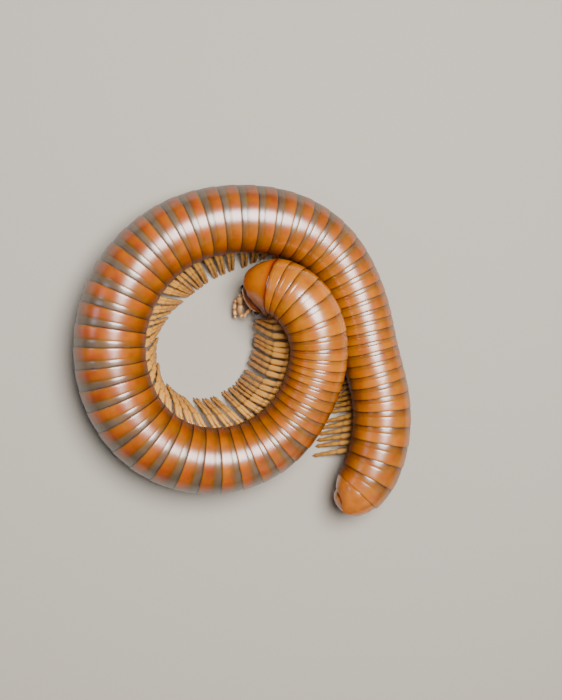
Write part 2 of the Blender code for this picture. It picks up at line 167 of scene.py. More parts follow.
# %% [markdown]
# The body line
# The animal's line is stepped along with a heading that turns a little at a time, as a
# walker would pace it out. All that changes along the body is read off short lists: how high
# its middle lies, how thick it is, and how far it leans over. "Along" is always the distance
# in millimetres behind the front edge of the neck shield.

# %% Line, height, thickness and lean of the body
START = (-0.6, 12.77)
START_HEADING = 20.0
BENDS = (
    (5.5, -34), (2.5, -21), (9, -38.5), (8, -30.5), (8, -14), (14, -45), (26, -79),
    (28, -66), (16, -39), (14, -25), (16, -48), (12, -19), (10, 6), (18, -40), (8, -32),
    (20, -50),
)
HEIGHTS = (
    (0, 7.6), (4, 9.8), (8, 11.7), (12, 12.5), (20, 12.5), (30, 11.2), (40, 9.4),
    (50, 8.6), (95, 8.7), (130, 8.3), (145, 7.5), (190, 7.3), (200, 6.7), (212, 5.2),
)
WIDTHS = (
    (0, 9.6), (5, 10.6), (8, 11.2), (14, 11.5), (20, 11.0), (32, 10.9), (42, 12.0),
    (52, 12.6), (62, 12.9), (78, 13.4), (95, 13.3), (130, 12.7), (150, 11.6), (160, 11.3),
    (184, 11.4), (190, 11.0), (194, 9.6), (198, 7.4), (206, 5.2),
)
LEANS = ((0, 4), (14, 12), (40, 22), (60, 26), (110, 26), (130, 16), (160, 10), (205, 8))
STEP = 0.25
EASE = 3.0
EASE_SAMPLES = 7


def read_off(points, along):
    """The value at one place of a list of points, straight between them."""
    if along <= points[0][0]:
        return points[0][1]
    for (near, low), (far, high) in zip(points, points[1:]):
        if along <= far:
            return low + (high - low) * (along - near) / (far - near)
    return points[-1][1]


def eased(points, along):
    """The value at one place with the corners of the list rounded off."""
    total = 0.0
    for sample in range(EASE_SAMPLES):
        offset = EASE * (2 * sample / (EASE_SAMPLES - 1) - 1)
        total += read_off(points, along + offset)
    return total / EASE_SAMPLES


def trace_body():
    """Step along the body and note where it is and which way it heads."""
    headings = [(0.0, START_HEADING)]
    for length, turn in BENDS:
        along, heading = headings[-1]
        headings.append((along + length, heading + turn))
    x, y = START
    trace = []
    for step in range(int(headings[-1][0] / STEP)):
        heading = math.radians(eased(headings, step * STEP))
        trace.append((x, y, heading))
        x += STEP * math.cos(heading)
        y += STEP * math.sin(heading)
    return trace


TRACE = trace_body()


def body_frame(along):
    """Centre, backward, outward and upward directions of the leaning body at one place."""
    share, step = math.modf(along / STEP)
    x, y, heading = TRACE[int(step)]
    next_x, next_y, next_heading = TRACE[int(step) + 1]
    heading += (next_heading - heading) * share
    centre = Vector((
        x + (next_x - x) * share,
        y + (next_y - y) * share,
        eased(HEIGHTS, along),
    ))
    slope = eased(HEIGHTS, along + 0.5) - eased(HEIGHTS, along - 0.5)
    back = Vector((math.cos(heading), math.sin(heading), slope)).normalized()
    side = Vector((-math.sin(heading), math.cos(heading), 0.0))
    up = back.cross(side)
    lean = math.radians(eased(LEANS, along))
    leaning_up = up * math.cos(lean) + side * math.sin(lean)
    leaning_side = side * math.cos(lean) - up * math.sin(lean)
    return centre, back, leaning_side, leaning_up


# %% [markdown]
# The same line as a Blender curve
# A Curve modifier lays a straight mesh along a curve: what lies at X = 10 mm comes to rest
# 10 mm along it. The curve's radius makes the piece thicker or thinner on the way, and its
# tilt leans it over. The straight pieces are made for a body of one plain radius.

# %% Body curve
PLAIN_RADIUS = 6.0
LINE_STEP = 0.5
LINE_END = 212


def new_curve(name, kind, twist):
    """A curve object, and its one spline, which has no points of its own yet."""
    line = bpy.data.curves.new(name, 'CURVE')
    line.dimensions = '3D'
    line.twist_mode = twist
    thing = bpy.data.objects.new(name, line)
    bpy.context.collection.objects.link(thing)
    return thing, line.splines.new(kind)


def draw_body_line():
    """A curve object along the middle of the body, and its length up to each of its points."""
    thing, spline = new_curve("body_line", 'POLY', 'Z_UP')
    count = int(LINE_END / LINE_STEP)
    spline.points.add(count - 1)
    centres = [body_frame(number * LINE_STEP)[0] for number in range(count)]
    for number, (point, centre) in enumerate(zip(spline.points, centres)):
        along = number * LINE_STEP
        point.co = (*(centre * MM), 1.0)
        point.radius = eased(WIDTHS, along) / 2 / PLAIN_RADIUS
        point.tilt = -math.radians(eased(LEANS, along))
    lengths = [0.0]
    for near, far in zip(centres, centres[1:]):
        lengths.append(lengths[-1] + (far - near).length)
    return thing, lengths


body_line, line_lengths = draw_body_line()


def line_length(along):
    """How far along the curve a place on the body is."""
    share, step = math.modf(along / LINE_STEP)
    near, far = line_lengths[int(step)], line_lengths[int(step) + 1]
    return near + (far - near) * share


print("body line, mm:", round(line_lengths[-1], 1))

# %% [markdown]
# Where the rings begin
# Ring spacing changes along the body: long over the free bends, short where the animal
# draws itself together. Each ring also differs a little from its neighbours.

# %% Ring edges
SHIELD_LENGTH = 5.4
RINGS_IN_LENGTHS = (3, 3, 6, 6, 6, 6, 5, 5, 6, 6, 6, 6, 5)
RING_SPACINGS = (
    (0, 1.65), (7, 1.43), (8.5, 1.6), (12, 3.25), (15.5, 2.6), (18, 2.25), (21, 1.55),
    (27, 1.74), (33, 1.95), (38, 3.0), (45, 2.8), (50, 3.6), (60, 3.35), (72, 3.2), (85, 3.4),
    (99, 3.15), (104, 2.8), (111, 2.9), (121, 3.25), (127, 3.25), (133, 2.77), (143, 2.75),
    (149, 2.45), (155, 1.9), (160, 1.95), (166, 2.1), (172, 2.75), (177, 3.4), (186, 3.75),
    (191, 3.35), (205, 2.55),
)
RING_VARIETY = 0.02
RING_VARIETY_RHYTHM = 1.7
# The number of the first ring of each length of trunk, and how many rings it has.
TRUNK = [(sum(RINGS_IN_LENGTHS[:place]), count) for place, count in enumerate(RINGS_IN_LENGTHS)]

ring_edges = [SHIELD_LENGTH]
for number in range(sum(RINGS_IN_LENGTHS)):
    spacing = eased(RING_SPACINGS, ring_edges[-1])
    spacing *= 1 + RING_VARIETY * math.sin(RING_VARIETY_RHYTHM * number)
    ring_edges.append(ring_edges[-1] + spacing)
print("rings:", len(ring_edges) - 1, "last edge at", round(ring_edges[-1], 1))

# %% [markdown]
# Working by hand in a script
# Edit-mode tools act on all that is selected, so every step starts by deselecting, and then
# picks points or faces by a test of where they lie. These short helpers do what the mouse
# and the keyboard would do.


# %% Helpers for modelling
def start_fresh():
    """Leave edit mode and deselect everything."""
    if bpy.context.object and bpy.context.object.mode != 'OBJECT':
        bpy.ops.object.mode_set(mode='OBJECT')
    bpy.ops.object.select_all(action='DESELECT')


def pick(things):
    """Select these objects only, the first one active."""
    start_fresh()
    for thing in things:
        thing.select_set(True)
    bpy.context.view_layer.objects.active = things[0]


def edit_with(piece, wanted=lambda part: True, faces=False):
    """Enter edit mode with only those points, or faces, selected that pass a test."""
    pick([piece])
    bpy.ops.object.mode_set(mode='EDIT')
    bpy.ops.mesh.select_mode(type='FACE' if faces else 'VERT')
    bpy.ops.mesh.select_all(action='DESELECT')
    bpy.ops.object.mode_set(mode='OBJECT')
    for part in piece.data.polygons if faces else piece.data.vertices:
        part.select = wanted(part)
    bpy.ops.object.mode_set(mode='EDIT')


def settle(piece):
    """Apply the object's place, turn and size, so that they lie in its mesh."""
    pick([piece])
    bpy.ops.object.transform_apply(location=True, rotation=True, scale=True)


def apply_modifiers(piece):
    """Apply every modifier in turn."""
    pick([piece])
    for modifier in list(piece.modifiers):
        bpy.ops.object.modifier_apply(modifier=modifier.name)


def smooth(piece, angle):
    """Shade smooth, with a crisp edge where faces meet at more than the angle."""
    pick([piece])
    bpy.ops.object.shade_smooth_by_angle(angle=math.radians(angle))


def copy_of(piece, name):
    """A copy with a mesh of its own."""
    twin = piece.copy()
    twin.data = piece.data.copy()
    twin.name = name
    bpy.context.collection.objects.link(twin)
    return twin


def joined(things, name):
    """Join objects into one piece."""
    pick(things)
    if len(things) > 1:
        bpy.ops.object.join()
    things[0].name = name
    return things[0]


# %% [markdown]
# Turning a profile
# Rings, legs, feelers and folded skin are all turned shapes, as from a lathe. A circle is
# stood across the X axis and extruded from station to station, and it grows or shrinks on
# the way. At the end it is bridged into a hoop, filled at both ends, or left open. Turned
# straight, a piece is easy to mark and to cut before a curve bends it into place.


# %% Turn a straight piece, round its rims and bend it
def extrude_to(move, scale, centre):
    """Extrude what is selected by a move, then scale it about a centre, both in mm."""
    bpy.ops.mesh.extrude_region_move(
        TRANSFORM_OT_translate={"value": [part * MM for part in move]}
    )
    bpy.ops.transform.resize(value=scale, center_override=[part * MM for part in centre])


def select_open_edges():
    """Select only the edges where the mesh ends."""
    bpy.ops.mesh.select_all(action='DESELECT')
    bpy.ops.mesh.select_non_manifold()


def face_outwards():
    """Turn every face outwards and leave edit mode."""
    bpy.ops.mesh.select_all(action='SELECT')
    bpy.ops.mesh.normals_make_consistent(inside=False)
    start_fresh()


def turned_profile(name, sides, stations, ends='FILLED'):
    """Extrude a circle of points along X through stations of a place and a radius, in mm."""
    start_fresh()
    place, radius = stations[0]
    bpy.ops.mesh.primitive_circle_add(
        vertices=sides, radius=radius * MM, location=(place * MM, 0, 0),
        rotation=(0, math.pi / 2, 0),
    )
    piece = bpy.context.object
    piece.name = name
    settle(piece)
    edit_with(piece)
    for next_place, next_radius in stations[1:]:
        scale = next_radius / radius
        extrude_to((next_place - place, 0, 0), (1, scale, scale), (next_place, 0, 0))
        place, radius = next_place, next_radius
    if ends == 'BRIDGED':
        select_open_edges()
        bpy.ops.mesh.bridge_edge_loops()
    elif ends == 'FILLED':
        bpy.ops.mesh.edge_face_add()
        select_open_edges()
        bpy.ops.mesh.edge_face_add()
    face_outwards()
    return piece


def round_rim(piece, width):
    """Round every edge where faces meet sharply, with a Bevel modifier left to apply."""
    rim = piece.modifiers.new("rim", 'BEVEL')
    rim.width = width * MM
    rim.segments = 3
    rim.limit_method = 'ANGLE'
    rim.angle_limit = math.radians(50)


def bend_along(piece, line):
    """Bend a straight piece along a curve with a Curve modifier, and apply it."""
    bend = piece.modifiers.new("bend", 'CURVE')
    bend.object = line
    bend.deform_axis = 'POS_X'
    apply_modifiers(piece)


def hold(piece, finish, slot, *nodes):
    """Give a finished piece its finish, its CAD body and the nodes it stands for. The slot is
    not used.
    """
    piece.data.materials.clear()
    piece.data.materials.append(finish)
    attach(piece, "root")
    if nodes:
        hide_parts(*nodes)


# %% [markdown]
# One ring
# A ring has two parts. The front part is smooth and narrow and slides into the ring ahead;
# the rear part is a little wider, starts at a shallow groove and ends in a rounded lip that
# overhangs the next ring. The profile is turned on a circle and closed inside, so the ring
# is a real hoop with a wall. Low on each side sits a small gland opening.

# %% Model one straight ring
PLAIN_RING = 3.0
RING_SIDES = 80
# Each station is a share of the ring's length and a share of its radius.
RING_PROFILE = (
    (-0.10, 0.960), (-0.02, 0.973), (0.04, 0.981), (0.10, 0.985), (0.22, 0.988),
    (0.34, 0.990), (0.36, 0.9865), (0.385, 0.990), (0.48, 0.993), (0.66, 0.9965),
    (0.82, 0.999), (0.91, 1.0), (0.96, 0.9985), (0.99, 0.993), (1.0, 0.984), (0.995, 0.970),
    (0.90, 0.955), (0.90, 0.84), (-0.10, 0.84),
)
BELLY_LEVEL = 0.883
BELLY_FLATTENING = 0.57
GLAND_ANGLE = 100
GLAND_SHARE = 0.60
GLAND_RIM = 0.11
GLAND_SLOPE = 0.04
GLAND_DEPTH = 0.12


def model_ring():
    """A straight ring, PLAIN_RING long, starting at X = 0."""
    stations = [(share * PLAIN_RING, radius * PLAIN_RADIUS) for share, radius in RING_PROFILE]
    ring = turned_profile("ring", RING_SIDES, stations, ends='BRIDGED')
    # Flatten the belly.
    level = -BELLY_LEVEL * PLAIN_RADIUS * MM
    edit_with(ring, lambda point: point.co.z < level)
    bpy.ops.transform.resize(value=(1, 1, BELLY_FLATTENING), center_override=(0, 0, level))
    # Press a gland opening into each side.
    turn = math.radians(GLAND_ANGLE)
    for side in (-1, 1):
        start_fresh()
        target = Vector((
            GLAND_SHARE * PLAIN_RING,
            side * PLAIN_RADIUS * math.sin(turn),
            PLAIN_RADIUS * math.cos(turn),
        )) * MM
        nearest = min(ring.data.polygons, key=lambda face: (face.center - target).length).index
        edit_with(ring, lambda face: face.index == nearest, faces=True)
        bpy.ops.mesh.inset(thickness=GLAND_RIM * MM, depth=0)
        bpy.ops.mesh.inset(thickness=GLAND_SLOPE * MM, depth=-GLAND_DEPTH * MM)
    bpy.ops.mesh.select_mode(type='VERT')
    start_fresh()
    return ring


plain_ring = model_ring()
print("faces in one ring:", len(plain_ring.data.polygons))

# %% [markdown]
# Marking the ring
# The colour bands follow the ring, not the room, so each point of the ring carries its own
# place as an attribute: how far back it lies in the ring, and how far up and out it lies
# round it. A second attribute tells where on the animal the ring is, and how light it is.


# %% Attributes that the finishes read
def mark_places(piece, length, start=0.0, axis=0):
    """Store each point's share of the length, and its height and side round the body."""
    places = piece.data.attributes.new("ring_place", 'FLOAT_VECTOR', 'POINT')
    for vertex, place in zip(piece.data.vertices, places.data):
        round_body = Vector((vertex.co.y, vertex.co.z)).normalized()
        share = (vertex.co[axis] / MM - start) / length
        place.vector = (share, round_body.y, round_body.x)


def mark_ring(ring, along, tone):
    """Store where on the body a ring is, and its tone."""
    places = ring.data.attributes.new("body_place", 'FLOAT_VECTOR', 'POINT')
    for place in places.data:
        place.vector = (along / LINE_END, tone, 0.0)


def new_cuticle(name):
    """A new finish, with the place in the ring and in the room for its nodes to read."""
    material, shader, add = new_finish(name)
    stored = add('Attribute', output="Vector", attribute_name="ring_place")
    place = add('SeparateXYZ', (stored,)).node.outputs
    return material, shader, add, place, add('TexCoord', output="Object")


def wandering(add, share, noise, width):
    """The share along the ring, moved to and fro by noise, for bands with uneven edges."""
    shift = add('Math', (noise, width, -width / 2), operation='MULTIPLY_ADD')
    return add('Math', (share, shift), operation='ADD')


def lines_round(add, up, out, count):
    """A wave round the body, with so many crests in the full round."""
    angle = add('Math', (out, up), operation='ARCTAN2')
    turns = add('Math', (angle, count), operation='MULTIPLY')
    return add('Math', (turns,), operation='SINE')


mark_places(plain_ring, PLAIN_RING)

# %% [markdown]
# All the rings
# The ring is copied to each place along X, stretched to its own length, and bent along the
# body line. The rings of one length of trunk are joined into one piece.

# %% Copy and bend the rings
RING_TONE_SEED = 5
draw = random.Random(RING_TONE_SEED)


def lay_rings(first, count, name):
    """The rings of one length of trunk, from the ring with the first number."""
    rings = []
    for number in range(first, first + count):
        near, far = ring_edges[number], ring_edges[number + 1]
        ring = copy_of(plain_ring, "ring_copy")
        start, end = line_length(near), line_length(far)
        ring.scale.x = (end - start) / PLAIN_RING
        ring.location.x = start * MM
        settle(ring)
        mark_ring(ring, (near + far) / 2, draw.random())
        bend_along(ring, body_line)
        rings.append(ring)
    return joined(rings, name)


ring_pieces = []
for length, (first, count) in enumerate(TRUNK, 1):
    ring_pieces.append(lay_rings(first, count, "rings_%02d" % length))
    smooth(ring_pieces[-1], 50)
bpy.data.objects.remove(plain_ring)
print("ring pieces:", len(ring_pieces))

# %% [markdown]
# The colour of the rings
# A millipede's armour is chitin hardened with lime under a thin coat of wax. The front of
# each ring is olive grey, its rear is orange with a pale lip, and the seam behind the lip
# lies in shade. The grey shows most where the body bends open, so there is one colour ramp
# for an open ring and one for a closed ring, and the place on the body mixes them.

# %% Ring colour
# The ring's own colours; the dark stops at both ends are painted shade in the seam.
OPEN_RING_AND_SEAM_SHADE_STOPS = (
    (0.00, "453426"), (0.04, "645446"), (0.10, "6E6050"), (0.30, "78644C"), (0.42, "8A5A2A"),
    (0.53, "AE5606"), (0.78, "C25E00"), (0.92, "C06A14"), (0.975, "9A6430"), (1.0, "745030"),
)
CLOSED_RING_AND_SEAM_SHADE_STOPS = (
    (0.00, "4A2410"), (0.04, "7A4A1C"), (0.12, "A8681C"), (0.22, "C06C04"), (0.45, "D27C00"),
    (0.88, "D88000"), (0.965, "CC7C10"), (1.0, "8A4C14"),
)
# How much of the open ramp shows, by the place on the body.
GREY_STOPS = (
    (0.0, 0.0), (0.12, 0.1), (0.19, 0.85), (0.26, 1.0), (0.54, 1.0), (0.64, 0.85),
    (0.72, 0.45), (0.85, 0.35), (1.0, 0.3),
)
# A chestnut tint for the painted shade low on the sides and on the outer side of the coil.
SIDE_SHADE_TINT = "6E4438"


def ring_bands(add, share, up, out, along, wander):
    """Grey and orange bands with a wandering edge, and painted shade in the seams and down the
    sides.
    """
    place = wandering(add, share, wander, 0.10)
    open_band = add('ValToRGB', (place,), stops=OPEN_RING_AND_SEAM_SHADE_STOPS)
    closed_band = add('ValToRGB', (place,), stops=CLOSED_RING_AND_SEAM_SHADE_STOPS)
    # More grey shows on the outer side of the coil.
    greyness = add('ValToRGB', (along,), stops=GREY_STOPS)
    outer = add('MapRange', (out, -0.95, 0.0, 0.45, 1.0))
    open_share = add('Math', (greyness, outer), operation='MULTIPLY')
    bands = add('Mix', {0: open_share, 6: closed_band, 7: open_band}, 2, data_type='RGBA')
    # Painted shade darkens the sides towards a chestnut tint, starting higher up on the outer
    # side.
    low = add('MapRange', (up, 0.75, -0.35, 0.0, 0.9))
    outer_side = add('MapRange', (out, 0.15, 0.85, 0.0, 0.85))
    outer_side_shade = add('Math', (greyness, outer_side), operation='MULTIPLY')
    painted_side_shade = add('Math', (low, outer_side_shade), operation='MAXIMUM')
    shaded_mix = {0: painted_side_shade, 6: bands, 7: hex_colour(SIDE_SHADE_TINT)}
    return add('Mix', shaded_mix, 2, data_type='RGBA', blend_type='MULTIPLY')


def ring_tones(add, bands, tone, wander, cloud):
    """Cloudy lightness and hue over the bands, and a lightness of its own for each ring."""
    cloudy = add('MapRange', (cloud, 0.3, 0.7, 0.78, 1.14))
    hue = add('MapRange', (wander, 0.3, 0.7, 0.487, 0.504))
    own = add('Math', (tone, 0.16, 0.76), operation='MULTIPLY_ADD')
    value = add('Math', (cloudy, own), operation='MULTIPLY')
    shift = {"Color": bands, "Value": value, "Hue": hue, "Saturation": 1.1}
    return add('HueSaturation', shift)


print("ring colours:", len(OPEN_RING_AND_SEAM_SHADE_STOPS), "open,", len(CLOSED_RING_AND_SEAM_SHADE_STOPS), "closed")

# %% [markdown]
# The surface of the rings
# Under the wax the rear of a ring is scored with fine lines low on its sides, and the whole
# of it has fine pores. Both are too small to model, so they are bump. The wax itself is as
# glossy as lacquer: a coat over the shader, which is rubbed thin low on the sides.

# %% Ring finish
STRIAE_ROUND = 110  # Lines round the whole body, 0.35 mm apart.


def ring_relief(add, share, up, out, position):
    """The bump of the lines and the pores."""
    wave = lines_round(add, up, out, STRIAE_ROUND)
    rear = add('MapRange', (share, 0.42, 0.5))
    sides = add('MapRange', (up, 0.25, -0.1))
    where = add('Math', (rear, sides), operation='MULTIPLY')
    striae = add('Math', (wave, where), operation='MULTIPLY')
    pores = {"Vector": position, "Scale": spots(0.1818), "Detail": 2}
    pitted = add('TexNoise', pores)
    relief = add('Math', (pitted, 0.35, striae), operation='MULTIPLY_ADD')
    return add('Bump', {"Height": relief, "Strength": 0.25, "Distance": 0.04 * MM})


def ring_finish():
    """Waxed cuticle, banded by its place in the ring."""
    material, shader, add, (share, up, out), position = new_cuticle("waxed_chitin_rings")
    body = add('Attribute', output="Vector", attribute_name="body_place")
    along, tone, unused = add('SeparateXYZ', (body,)).node.outputs
    wander = add('TexNoise', {"Vector": position, "Scale": spots(2.0), "Detail": 2})
    cloud = add('TexNoise', {"Vector": position, "Scale": spots(2.857), "Detail": 4})
    bands = ring_bands(add, share, up, out, along, wander)
    set_inputs(shader, {
        "Base Color": ring_tones(add, bands, tone, wander, cloud),
        "Normal": ring_relief(add, share, up, out, position),
        "Roughness": add('MapRange', (cloud, 0.3, 0.7, 0.32, 0.42)),
        "Coat Weight": add('MapRange', (up, 0.3, 0.85)),
        "Coat Roughness": 0.27,
        "Coat IOR": 1.9,
        "Specular IOR Level": 0.12,
    })
    return material


ring_cuticle = ring_finish()
for length, piece in enumerate(ring_pieces, 1):
    hold(piece, ring_cuticle, "ring_shell", "trunk_%02d" % length)
print("waxed:", len(ring_pieces), "pieces")

# %% [markdown]
# The legs
# A millipede's leg has six short joints and a claw. Each joint is a little wider at its far
# end, where the next one sets in. One leg is turned straight, in few faces because there
# are so many of them; then each copy is stretched and bent along a small curve of its own,
# from its root under the belly, over its knee and down to its foot.

# %% Model one straight leg
LEG_LENGTH = 8.0
LEG_RADIUS = 0.66
LEG_SIDES = 6
LEG_JOINTS = (0.12, 0.34, 0.54, 0.70, 0.84, 0.96)
LEG_TAPER = 0.50
JOINT_NARROWING = 0.74
JOINT_SEAM = 0.02
CLAW_PROFILE = ((0.965, 0.3), (1.0, 0.06))


def model_leg():
    """A straight leg along X, with its joints and its claw."""
    stations = []
    near = 0.0
    for far in LEG_JOINTS:
        full = LEG_RADIUS * (1 - LEG_TAPER * far)
        stations.append((near * LEG_LENGTH, full * JOINT_NARROWING))
        stations.append(((far - JOINT_SEAM) * LEG_LENGTH, full))
        near = far
    for share, thickness in CLAW_PROFILE:
        stations.append((share * LEG_LENGTH, thickness * LEG_RADIUS))
    return turned_profile("leg", LEG_SIDES, stations)


plain_leg = model_leg()
mark_places(plain_leg, LEG_LENGTH)
print("faces in one leg:", len(plain_leg.data.polygons))

# %% [markdown]
# Where each leg goes
# The first rings carry one pair of legs each and the others two, set close together. A leg
# springs from low on the ring, sweeps forwards or backwards as the animal has laid it, and
# is drawn a little towards its neighbours. All of this is worked out as four points for each
# leg: its root, hip, knee and foot.

# %% Where the legs go
FIRST_FULL_RING = 4
LEGLESS_LAST_RINGS = 2
LEG_PLACE_IN_RING = 0.58
LEG_PAIR_SPREADS = ((0, 0.08), (30, 0.08), (42, 0.18), (160, 0.18), (172, 0.25))
WIDEST = 13.4
RINGS_IN_BUNCH = 3
LEG_BUNCHING = 0.10
LEG_ROOT_ANGLE = 11
LEG_ROOT_LEVEL = 0.95772  # A share of the radius, under 1 because the belly is flat.
LEG_ROOT_DEPTH = 0.9
LEG_WIDTH_SHARE = 0.072
INNER_SPANS = (
    (0, 1.4), (8, 2.2), (15, 8.4), (20, 9.0), (34, 8.8), (48, 8.8), (62, 9.2), (76, 7.8),
    (88, 7.2), (96, 8.2), (108, 7.6), (122, 6.4), (132, 3.8), (140, 1.4), (162, 1.4),
    (170, 5.5), (178, 9.4), (194, 9.2), (208, 6.4),
)
OUTER_SPAN = 4.6
OUTER_SWEEP_SHARE = 0.4
SWEEPS = (
    (0, 10), (6, 4), (9, -12), (13, -38), (20, -14), (28, 0), (40, 6), (46, 20), (54, 32),
    (64, 42), (79, 40), (88, 27), (98, 22), (108, 10), (122, 10), (132, 0), (150, 0),
    (166, 8), (175, 10), (184, 24), (196, 32), (212, 44),
)
FOOT_HEIGHTS = ((0, 5.5), (12, 3.6), (24, 2.0), (36, 0.0), (212, 0.0))
KNEE_SHARE = 0.42
KNEE_LIFT = 0.06
SWEEP_CURL = 0.40
LEG_CURLS = ((0, 0), (10, 0), (15, 13), (32, 13), (44, 4), (212, 4))
LEG_SIZES = ((0, 1.3), (30, 1.3), (42, 1.0), (160, 1.0), (172, 1.45))


def leg_places(ring):
    """Where the legs of one ring stand: one pair on each of the first rings, then two."""
    run = ring_edges[ring + 1] - ring_edges[ring]
    middle = ring_edges[ring] + run * LEG_PLACE_IN_RING
    if ring + 1 < FIRST_FULL_RING:
        return (middle,)
    spread = run * eased(LEG_PAIR_SPREADS, middle)
    return (middle - spread, middle + spread)


def foot_shift(first, last, along):
    """How far a foot is drawn towards the middle of its bunch of legs."""
    bunches = max(round((last - first) / RINGS_IN_BUNCH), 1)
    length = (ring_edges[last] - ring_edges[first]) / bunches
    place = math.modf((along - ring_edges[first]) / length)[0]
    return LEG_BUNCHING * (place - 0.5) * length


def leg_line(along, outward, bunch):
    """The root, hip, knee and foot of one leg, in mm."""
    centre, back, side, up = body_frame(along)
    turn = math.radians(180 - LEG_ROOT_ANGLE if outward else 180 + LEG_ROOT_ANGLE)
    ray = up * math.cos(turn) + side * math.sin(turn)
    width = eased(WIDTHS, along)
    root = centre + ray * (width / 2 * LEG_ROOT_LEVEL - LEG_ROOT_DEPTH)
    hip = centre + ray * (width / 2 * LEG_ROOT_LEVEL + width * LEG_WIDTH_SHARE / 2)
    sweep = math.radians(eased(SWEEPS, along))
    curl = math.radians(eased(LEG_CURLS, along))
    span = eased(INNER_SPANS, along)
    if outward:
        sweep, curl, span = sweep * OUTER_SWEEP_SHARE, 0.0, OUTER_SPAN
    reach = side if outward else -side
    reach = Vector((reach.x, reach.y, 0)).normalized()
    level_back = Vector((back.x, back.y, 0))
    beyond = KNEE_SHARE / (1 - KNEE_SHARE)
    upper, lower = (
        reach * math.cos(turn) + level_back.normalized() * math.sin(turn)
        for turn in (
            sweep * (1 - SWEEP_CURL) + curl,
            sweep * (1 + SWEEP_CURL * beyond) - curl * beyond,
        )
    )
    knee = hip + (upper * span - level_back * bunch) * KNEE_SHARE
    foot = knee + (lower * span - level_back * bunch) * (1 - KNEE_SHARE)
    foot.z = read_off(FOOT_HEIGHTS, along)
    if not outward:
        knee.z += span * KNEE_LIFT
    return root, hip, knee, foot


print("a leg's points, mm:", [[round(x, 1) for x in point] for point in leg_line(100, False, 0)])

# %% [markdown]
# The finish of the legs
# The legs are clean chitin with less lime, pale buff, and darker at each joint. They have a
# satin sheen, not the wet gloss of the rings.

# %% Leg finish
# The stops follow the leg from its root to its claw.
LEG_STOPS = (
    (0.0, "743E10"), (0.11, "B4722C"), (0.13, "9E5E20"), (0.17, "CA8C3C"), (0.33, "D49644"),
    (0.35, "BC7C30"), (0.39, "D89C4A"), (0.53, "D69A44"), (0.55, "BC7C30"), (0.59, "D89E46"),
    (0.70, "BA7A2E"), (0.74, "D2963E"), (0.84, "B4742A"), (0.88, "C48638"), (1.0, "704018"),
)
leg_cuticle, shader, add, place, position = new_cuticle("satin_chitin_legs")
set_inputs(shader, {
    "Base Color": add('ValToRGB', (place[0],), stops=LEG_STOPS),
    "Roughness": 0.38,
    "Coat Weight": 0.2,
    "Coat Roughness": 0.25,
})
print("leg colours:", len(LEG_STOPS))

# %% [markdown]
# Laying the legs
# Each copy of the straight leg is stretched along a short curve through its four points.
# The curve is only a guide and is removed once the Curve modifier is applied. The legs of
# one length of trunk are joined into one piece.


# %% Lay the legs
def bend_leg(along, outward, bunch):
    """A copy of the straight leg, fitted to its own line."""
    guide, spline = new_curve("leg_line", 'BEZIER', 'MINIMUM')
    guide.data.use_stretch = True
    guide.data.use_deform_bounds = True
    guide.data.resolution_u = 5
    points = leg_line(along, outward, bunch)
    spline.bezier_points.add(len(points) - 1)
    for knot, point in zip(spline.bezier_points, points):
        knot.co = point * MM
        knot.handle_left_type = 'AUTO'
        knot.handle_right_type = 'AUTO'
        knot.radius = eased(WIDTHS, along) / WIDEST * eased(LEG_SIZES, along)
    leg = copy_of(plain_leg, "leg_copy")
    bend_along(leg, guide)
    bpy.data.objects.remove(guide)
    return leg


def lay_legs(first, count, name):
    """The legs of one length of trunk."""
    last = first + count
    legs = []
    for ring in range(first, min(last, len(ring_edges) - 1 - LEGLESS_LAST_RINGS)):
        for along in leg_places(ring):
            bunch = foot_shift(first, last, along)
            for outward in (False, True):
                legs.append(bend_leg(along, outward, bunch))
    return joined(legs, name)


for length, (first, count) in enumerate(TRUNK, 1):
    piece = lay_legs(first, count, "legs_%02d" % length)
    smooth(piece, 60)
    hold(piece, leg_cuticle, "limb")
    print("faces in", piece.name, len(piece.data.polygons))
bpy.data.objects.remove(plain_leg)

# %% [markdown]
# The neck shield
# Behind the head lies a large plate, the collar shield, like a hood with a lobe down each
# side. It is turned as a dome, cut to a slope in front and open below, and then given a
# wall and a rounded rim.

# %% Model the neck shield
SHIELD_FRONT_WIDTH = 0.30
SHIELD_CUT_ALONG = 1.5
SHIELD_CUT_LEAN = 25
SHIELD_ROUNDNESS = 0.7
SHIELD_LOBE_ANGLE = 112
SHIELD_OUTER_FLARE = 0.12
SHIELD_INNER_FLARE = 0.36
SHIELD_LOBE_REACH = 3.4
SHIELD_LOBE_FRONT = 0.2
SHIELD_LOBE_REAR = 0.7
SHIELD_LOBE_LEVEL = 0.66
SHIELD_WALL = 0.4
SHIELD_RIM = 0.12
SHIELD_BELLY_CUT = (0.12, 0, -1)
SHIELD_SHARES = (0.0, 0.04, 0.12, 0.22, 0.34, 0.48, 0.62, 0.76, 0.90, 0.97, 1.0)


def cut_away(piece, place, normal):
    """Cut a mesh with a plane and drop what lies on the side its normal points to."""
    edit_with(piece)
    bpy.ops.mesh.bisect(plane_co=place, plane_no=normal, clear_outer=True)
    start_fresh()


